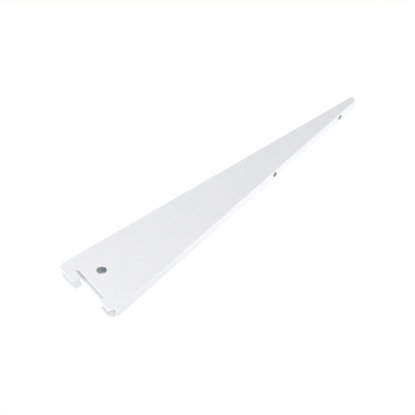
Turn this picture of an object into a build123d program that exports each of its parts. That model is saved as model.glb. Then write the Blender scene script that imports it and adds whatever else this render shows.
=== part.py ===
from build123d import *
from math import hypot
import os

# Shelf bracket for a slotted upright, in millimetres: one sheet folded into a channel
# that is open at the top and tapers towards its nose.
# +X runs out from the wall, +Z is up and +Y lies across the channel.
# The origin is at the rear end of the shelf seat: on the upright's face, level with
# the top edges and midway between the two cheeks.

# Channel
reach = 370.0           # upright's face to the nose
rear_height = 82.4      # top edge down to the web's underside, at the upright
nose_height = 6.5       # the same at the nose
width = 12.5            # over both cheeks
sheet = 1.8             # steel thickness
fold_radius = 0.6       # inside of the two folds
nose_rake = 2.2         # how far the nose's foot lies behind its top corner
nose_top_round = 1.0    # its top corners
edge_round = 0.3        # outer side of each cut edge, as coated

# Upright that the bracket hangs in
slot_pitch = 32.0       # from one slot to the next
seat_drop = 16.0        # top edge down to the lower end of the hook's slot
lug_clearance = 0.6     # from the lug down to the lower end of its own slot

# Hook: passes through the upper slot and drops behind the upright's face
hook_reach = 13.4       # behind that face
hook_drop = 27.2        # top edge down to the hook's tip
hook_top_round = 6.5
hook_tip_round = 3.2
throat_top = 3.2        # gap that grips the upright, at its closed end
throat_mouth = 3.6      # the same gap at the tip, where it opens

# Lug: enters the lower slot and keeps the bracket upright
lug_reach = 6.6
lug_height = 17.5
lug_lead = 1.2          # fall of the lug's top edge over its reach
lug_tip_round = 5.0
lug_top_round = 1.0
root_round = 0.5        # inner corners of the cut outline

# Round holes
cheek_hole = 10.3       # diameter, through both cheeks
cheek_hole_out = 17.2   # from the upright's face
cheek_hole_down = 31.8  # from the top edge
screw_hole = 5.8        # diameter, through the web
screw_hole_back = (27.6, 136.0)  # from the nose, along the shelf

# Worked out from the sizes above
outer_fold = fold_radius + sheet
slots_spanned = (rear_height - seat_drop) // slot_pitch  # as many as the rear has room for
lug_bottom = seat_drop + slots_spanned * slot_pitch - lug_clearance
lug_top = lug_bottom - lug_height
throat_round = 0.49 * throat_top
rise = (rear_height - nose_height) / reach
foot_end = reach - nose_rake
web_length_ratio = hypot(1, rise)
beyond = 2 * hook_reach


# Height of the web's underside at a distance from the upright, or of its upper side
def underside(out):
    return rise * out - rear_height


def upper_side(out):
    return underside(out) + sheet * web_length_ratio


# Edges that only one face of a skin has: where the sheet was cut, and not folded
def cut_edges(skin):
    borders = skin.edges()
    return [edge for edge in borders if sum(edge.is_same(other) for other in borders) == 1]


# Underside of the web, with its normal pointing away from the channel
web = Plane(origin=(0, 0, underside(0)), x_dir=(1, 0, rise), z_dir=(rise, 0, -1))

# Side outline of the cut sheet: each corner, and how it is rounded
outline = (
    ((0, underside(0)), 0),
    ((0, -lug_bottom), root_round),
    ((-lug_reach, -lug_bottom), lug_tip_round),
    ((-lug_reach, -lug_top - lug_lead), lug_top_round),
    ((0, -lug_top), root_round),
    ((0, -seat_drop), throat_round),
    ((-throat_top, -seat_drop), throat_round),
    ((-throat_mouth, -hook_drop), hook_tip_round),
    ((-hook_reach, -hook_drop), hook_tip_round),
    ((-hook_reach, 0), hook_top_round),
    ((reach, 0), nose_top_round),
    ((foot_end, underside(foot_end)), 0),
)

# Space inside the channel, rounded along its foot as the sheet is folded
with BuildPart() as inside:
    with BuildSketch(Plane.XZ):
        with BuildLine():
            Polyline(
                (-beyond, upper_side(-beyond)),
                (reach + beyond, upper_side(reach + beyond)),
                (reach + beyond, beyond),
                (-beyond, beyond),
                close=True,
            )
        make_face()
    extrude(amount=width / 2 - sheet, both=True)
    foot = inside.faces().filter_by(web).edges().group_by(Axis.Y)
    fillet(foot[0] + foot[-1], radius=fold_radius)

with BuildPart() as bracket:
    with BuildSketch(Plane.XZ):
        with BuildLine():
            FilletPolyline([corner for corner, _ in outline], radius=[size for _, size in outline], close=True)
        make_face()
    extrude(amount=width / 2, both=True)
    folds = bracket.faces().filter_by(web).edges().group_by(Axis.Y)
    fillet(folds[0] + folds[-1], radius=outer_fold)
    add(inside.part, mode=Mode.SUBTRACT)

    # One hole through both cheeks, and two for screws through the web
    with Locations(Plane.XZ.offset(width / 2)):
        with Locations((cheek_hole_out, -cheek_hole_down)):
            Hole(radius=cheek_hole / 2)
    with Locations(web):
        with Locations([((reach - back) * web_length_ratio, 0) for back in screw_hole_back]):
            Hole(radius=screw_hole / 2, depth=2 * sheet)

    # The coat rounds every cut edge on its outer side
    cheeks = bracket.faces().filter_by(Plane.XZ).group_by(Axis.Y)
    webs = bracket.faces().filter_by(web).sort_by(Axis.Z)
    outer_folds = bracket.faces().filter_by(GeomType.CYLINDER).sort_by(SortBy.AREA)[-2:]
    outer_skin = cheeks[0] + cheeks[-1] + webs[:1] + outer_folds
    fillet(cut_edges(outer_skin), radius=edge_round)

os.makedirs("parts", exist_ok=True)
bracket.part.label = "bracket"
export_step(bracket.part, "parts/bracket.step")
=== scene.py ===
import math

import bpy
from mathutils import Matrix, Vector

# White shelf bracket for a slotted upright, as it hangs, seen from below
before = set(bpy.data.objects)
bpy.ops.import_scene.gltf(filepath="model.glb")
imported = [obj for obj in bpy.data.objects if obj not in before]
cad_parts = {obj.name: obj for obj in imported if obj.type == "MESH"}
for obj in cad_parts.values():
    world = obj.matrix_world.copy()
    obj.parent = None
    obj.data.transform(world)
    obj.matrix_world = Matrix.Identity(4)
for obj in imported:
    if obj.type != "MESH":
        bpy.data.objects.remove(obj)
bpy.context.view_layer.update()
scene = bpy.context.scene
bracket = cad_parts["bracket"]
print("bracket loaded:", len(bracket.data.polygons), "faces")


# Camera: low and to the -Y side, looking up at the web and the near cheek
photoCamera = {
    "place": (-0.4020, -1.0511, -0.8269),  # metres
    "turn": (134.495, 37.134, 2.920),      # degrees about X, Y and Z
    "lens": 121.45,                        # on a 36 mm sensor
    "clip": (0.05, 60),                    # metres
}
bpy.ops.object.camera_add(
    location=photoCamera["place"],
    rotation=[math.radians(angle) for angle in photoCamera["turn"]],
)
camera = bpy.context.object
camera.name = "photoCamera"
camera.data.lens = photoCamera["lens"]
camera.data.clip_start, camera.data.clip_end = photoCamera["clip"]
scene.camera = camera
print("camera placed")


# Shorthand for building node trees
def addNode(tree, kind, x, y, **settings):
    node = tree.nodes.new(kind)
    node.location = (x, y)
    for name, value in settings.items():
        setattr(node, name, value)
    return node


# Fills a socket with a number, a colour or the output of another node
def fill(tree, socket, value):
    if isinstance(value, bpy.types.NodeSocket):
        tree.links.new(value, socket)
    elif isinstance(value, tuple):
        socket.default_value = (*value, 1)
    else:
        socket.default_value = value


def mathNode(tree, operation, x, y, *inputs, clamp=False):
    node = addNode(tree, "ShaderNodeMath", x, y, operation=operation, use_clamp=clamp)
    for socket, value in zip(node.inputs, inputs):
        fill(tree, socket, value)
    return node.outputs[0]


def noiseNode(tree, place, x, y, scale, detail):
    node = addNode(tree, "ShaderNodeTexNoise", x, y)
    fill(tree, node.inputs["Vector"], place)
    fill(tree, node.inputs["Scale"], scale)
    fill(tree, node.inputs["Detail"], detail)
    return node.outputs["Fac"]


# Smooth step from 0 to 1 between two values
def stepNode(tree, value, x, y, low, high):
    node = addNode(tree, "ShaderNodeMapRange", x, y, interpolation_type="SMOOTHSTEP")
    fill(tree, node.inputs["Value"], value)
    fill(tree, node.inputs["From Min"], low)
    fill(tree, node.inputs["From Max"], high)
    return node.outputs["Result"]


# Sockets 6 and 7 of a mix node are its two colours, and output 2 is the mixed one
def mixColour(tree, share, x, y, colourA, colourB):
    node = addNode(tree, "ShaderNodeMix", x, y, data_type="RGBA")
    fill(tree, node.inputs["Factor"], share)
    fill(tree, node.inputs[6], colourA)
    fill(tree, node.inputs[7], colourB)
    return node.outputs[2]


# An empty group, with a number for each name that goes in and each that comes out
def newGroup(name, givenNames, madeNames):
    group = bpy.data.node_groups.new(name, "ShaderNodeTree")
    for direction, socketNames in (("INPUT", givenNames), ("OUTPUT", madeNames)):
        for socketName in socketNames:
            group.interface.new_socket(socketName, in_out=direction, socket_type="NodeSocketFloat")
    given = addNode(group, "NodeGroupInput", -1100, 0)
    made = addNode(group, "NodeGroupOutput", 700, 0)
    return group, given.outputs, made.inputs


def groupNode(tree, group, x, y, values):
    node = addNode(tree, "ShaderNodeGroup", x, y, node_tree=group)
    for name, value in values.items():
        fill(tree, node.inputs[name], value)
    return node.outputs


# Coat of the bracket, with its lengths in metres
whiteCoat = {
    "colour": (0.881, 0.881, 0.886),       # baked white powder
    "cloudColour": (0.869, 0.870, 0.877),  # where it lies a little thinner
    "cloudEdges": (0.38, 0.66),            # of the noise, where the first ends and the other is full
    "innerShadeColour": (0.868, 0.885, 0.894),  # painted cool shade on the inner faces
    "deepShadeColour": (0.52, 0.59, 0.62),      # painted shade deep in the channel, standing in for the dark inside
    "deepShadeShare": 0.9,
    "cornerShadeColour": (0.27, 0.305, 0.325),    # and darker painted shade in the corners by the web
    "roughness": (0.34, 0.42),             # of the full coat and of the thinner
    "deepRoughness": 0.6,
    "ior": 1.5,
    "peelDepth": 0.00008,
    "peelStrength": 0.9,
    "powder": {
        "Peel Scale": 1000.0,   # orange peel, about 1 mm from hill to hill
        "Grain Scale": 3400.0,  # and the powder's own grain on it
        "Grain Share": 0.25,
        "Cloud Scale": 45.0,
    },
    "channel": {
        "Half Gap": 0.00445,    # from the middle to the cheeks
        "Slack": 0.0001,        # that a face of the mesh may lie off its true place
        "Sheet": 0.0018,
        "Sheet Share": 0.9,     # a face higher than this in the sheet is the web's upper one
        "Top Fade": 0.004,      # how far in from the open top the painted shade grows to full
        "Rear Start": 0.014,    # and from the open rear: none of it up to here,
        "Rear Fade": 0.010,     # then more and more over this length
        "Corner": 0.006,        # how far up from the web the corner shade is painted,
        "Corner Squeeze": 2.0,  # and how many times less along it
        "Web Down": 0.0824,     # web's underside at the rear
        "Web Rise": 0.20514,    # and its rise towards the nose
    },
}


# Relief of the baked powder, and the noise that says where it lies thinner
def makePowderSkin():
    group, given, made = newGroup("powderSkin", whiteCoat["powder"], ("Height", "Cloud"))
    place = addNode(group, "ShaderNodeTexCoord", -1100, 250).outputs["Object"]
    peel = noiseNode(group, place, -450, 150, given["Peel Scale"], detail=1.5)
    grain = noiseNode(group, place, -450, -150, given["Grain Scale"], detail=2.0)
    fine = mathNode(group, "MULTIPLY", -200, -150, grain, given["Grain Share"])
    height = mathNode(group, "ADD", 0, 50, peel, fine)
    fill(group, made["Height"], height)
    cloud = noiseNode(group, place, -450, -450, given["Cloud Scale"], detail=3.0)
    fill(group, made["Cloud"], cloud)
    return group


# Masks for the inner faces of the sheet, for how deep in the channel they lie, and for how near
# to the corners by its web, which place painted shade: all three are 0 on whatever faces out
def makeChannelDepth():
    group, given, made = newGroup("channelDepth", whiteCoat["channel"], ("Inner", "Deep", "Corner Shade"))
    place = addNode(group, "ShaderNodeTexCoord", -1100, 300).outputs["Object"]
    split = addNode(group, "ShaderNodeSeparateXYZ", -900, 200)
    fill(group, split.inputs["Vector"], place)
    along, side, up = split.outputs

    # Between the cheeks and over the web
    across = mathNode(group, "ABSOLUTE", -500, 350, side)
    toCheek = mathNode(group, "ADD", -500, 200, given["Half Gap"], given["Slack"])
    between = mathNode(group, "LESS_THAN", -300, 300, across, toCheek)
    climb = mathNode(group, "MULTIPLY", -700, 50, along, given["Web Rise"])
    webHeight = mathNode(group, "SUBTRACT", -500, 50, climb, given["Web Down"])
    above = mathNode(group, "SUBTRACT", -300, 100, up, webHeight)
    mostOfSheet = mathNode(group, "MULTIPLY", -300, -50, given["Sheet"], given["Sheet Share"])
    overWeb = mathNode(group, "GREATER_THAN", -100, 100, above, mostOfSheet)
    inner = mathNode(group, "MULTIPLY", 100, 150, between, overWeb)
    fill(group, made["Inner"], inner)

    # Away from the open top and the open rear
    down = mathNode(group, "MULTIPLY", -500, -200, up, -1.0)
    fromTop = mathNode(group, "DIVIDE", -300, -200, down, given["Top Fade"], clamp=True)
    pastStart = mathNode(group, "SUBTRACT", -500, -350, along, given["Rear Start"])
    fromRear = mathNode(group, "DIVIDE", -300, -350, pastStart, given["Rear Fade"], clamp=True)
    depth = mathNode(group, "MULTIPLY", -100, -250, fromTop, fromRear)
    deep = mathNode(group, "MULTIPLY", 300, 50, inner, depth)
    fill(group, made["Deep"], deep)

    # Near to a corner, where the darkest painted shade goes
    offWeb = mathNode(group, "SUBTRACT", -300, -500, above, given["Sheet"])
    offCheek = mathNode(group, "SUBTRACT", -300, -650, given["Half Gap"], across)
    offBoth = mathNode(group, "MULTIPLY_ADD", -100, -550, offCheek, given["Corner Squeeze"], offWeb)
    fromCorner = mathNode(group, "DIVIDE", 100, -450, offBoth, given["Corner"], clamp=True)
    corner = mathNode(group, "SUBTRACT", 300, -450, 1.0, fromCorner)
    cornerShade = mathNode(group, "MULTIPLY", 500, -150, deep, corner)
    fill(group, made["Corner Shade"], cornerShade)
    return group


def makeWhiteCoat():
    material = bpy.data.materials.new("whiteCoat")
    material.use_nodes = True
    tree = material.node_tree
    tree.nodes.clear()
    out = addNode(tree, "ShaderNodeOutputMaterial", 700, 0)
    shader = addNode(tree, "ShaderNodeBsdfPrincipled", 400, 0)
    fill(tree, out.inputs["Surface"], shader.outputs["BSDF"])
    fill(tree, shader.inputs["IOR"], whiteCoat["ior"])
    skin = groupNode(tree, makePowderSkin(), -600, 0, whiteCoat["powder"])
    masks = groupNode(tree, makeChannelDepth(), -600, 300, whiteCoat["channel"])

    # Colour, from the full coat outside to painted shade inside, darkest in the corners by the web
    thin = stepNode(tree, skin["Cloud"], -350, -150, *whiteCoat["cloudEdges"])
    outer = mixColour(tree, thin, -150, 150, whiteCoat["colour"], whiteCoat["cloudColour"])
    # painted cool shade tint on the inner faces
    inner = mixColour(tree, masks["Inner"], 0, 200, outer, whiteCoat["innerShadeColour"])
    # painted shade deep in the channel, standing in for the dark inside
    deepShadeAmount = mathNode(tree, "MULTIPLY", -350, 300, masks["Deep"], whiteCoat["deepShadeShare"])
    deep = mixColour(tree, deepShadeAmount, 100, 250, inner, whiteCoat["deepShadeColour"])
    # darker painted shade in the corners by the web
    colour = mixColour(tree, masks["Corner Shade"], 200, 300, deep, whiteCoat["cornerShadeColour"])
    fill(tree, shader.inputs["Base Color"], colour)

    # Gloss, duller deep in the channel
    low, high = whiteCoat["roughness"]
    sheen = mathNode(tree, "MULTIPLY_ADD", -100, -150, thin, high - low, low)
    duller = whiteCoat["deepRoughness"] - high
    dull = mathNode(tree, "MULTIPLY_ADD", 100, -150, masks["Deep"], duller, sheen)
    fill(tree, shader.inputs["Roughness"], dull)

    # Relief
    bump = addNode(tree, "ShaderNodeBump", 100, -400)
    fill(tree, bump.inputs["Strength"], whiteCoat["peelStrength"])
    fill(tree, bump.inputs["Distance"], whiteCoat["peelDepth"])
    fill(tree, bump.inputs["Height"], skin["Height"])
    fill(tree, shader.inputs["Normal"], bump.outputs["Normal"])
    return material


coat = makeWhiteCoat()
for materialSlot in bracket.material_slots:
    materialSlot.material = coat
print("white coat on", len(bracket.material_slots), "material slots")


# Floor: plain and pale, far below the hung bracket
floorPlan = {"size": 14.0, "down": 1.6, "colour": (0.93, 0.93, 0.93), "roughness": 0.9}
bpy.ops.mesh.primitive_plane_add(size=floorPlan["size"], location=(0, 0, -floorPlan["down"]))
floor = bpy.context.object
floor.name = "floor"
paleFloor = bpy.data.materials.new("paleFloor")
paleFloor.use_nodes = True
floorShader = paleFloor.node_tree.nodes["Principled BSDF"]
fill(paleFloor.node_tree, floorShader.inputs["Base Color"], floorPlan["colour"])
fill(paleFloor.node_tree, floorShader.inputs["Roughness"], floorPlan["roughness"])
floor.data.materials.append(paleFloor)
print("floor laid")


# Studio: a white surround that the camera and the gloss see, and a dimmer, cooler one as light
surround = {
    "seenColour": (1.0, 1.0, 1.0),
    "seenLevel": 1.0,
    "lightColour": (0.984, 0.985, 1.0),
    "lightLevel": 0.68,
}
world = bpy.data.worlds.new("studio")
scene.world = world
world.use_nodes = True
worldTree = world.node_tree
worldTree.nodes.clear()
worldOut = addNode(worldTree, "ShaderNodeOutputWorld", 500, 0)
choose = addNode(worldTree, "ShaderNodeMixShader", 300, 0)
dim = addNode(worldTree, "ShaderNodeBackground", 50, 100)
fill(worldTree, dim.inputs["Color"], surround["lightColour"])
fill(worldTree, dim.inputs["Strength"], surround["lightLevel"])
white = addNode(worldTree, "ShaderNodeBackground", 50, -100)
fill(worldTree, white.inputs["Color"], surround["seenColour"])
fill(worldTree, white.inputs["Strength"], surround["seenLevel"])
path = addNode(worldTree, "ShaderNodeLightPath", -400, 300).outputs
seen = mathNode(worldTree, "MAXIMUM", -200, 300, path["Is Camera Ray"], path["Is Glossy Ray"])
fill(worldTree, choose.inputs["Fac"], seen)
fill(worldTree, choose.inputs[1], dim.outputs["Background"])
fill(worldTree, choose.inputs[2], white.outputs["Background"])
fill(worldTree, worldOut.inputs["Surface"], choose.outputs["Shader"])
print("surround made")


# Softboxes: each one's place, the point that it faces, its width and its power
softboxes = {
    "beyondNose": {"place": (0.52, 0.29, -0.46), "at": (0.24, 0, -0.03), "size": 0.35, "power": 1.38},
    "front": {"place": (-0.60, -0.85, -0.75), "at": (0.10, 0, -0.04), "size": 0.70, "power": 1.8},
    "rear": {"place": (-0.90, -0.55, -0.25), "at": (0, 0, -0.04), "size": 0.60, "power": 5.5},
    "farSide": {"place": (0.35, 1.20, 0.80), "at": (0.20, 0, -0.03), "size": 1.0, "power": 4.0},
    "above": {"place": (0.15, 0.05, 1.30), "at": (0.18, 0, -0.03), "size": 0.50, "power": 4.0},
}
for name, box in softboxes.items():
    bpy.ops.object.light_add(type="AREA", location=box["place"])
    lamp = bpy.context.object
    lamp.name = name
    lamp.data.shape = "DISK"
    lamp.data.size = box["size"]
    lamp.data.energy = box["power"]
    aim = [there - here for there, here in zip(box["at"], box["place"])]
    lamp.rotation_mode = "QUATERNION"
    lamp.rotation_quaternion = Vector(aim).to_track_quat("-Z", "Y")
print("studio lit by", len(softboxes), "softboxes")

scene.view_settings.view_transform = "Standard"
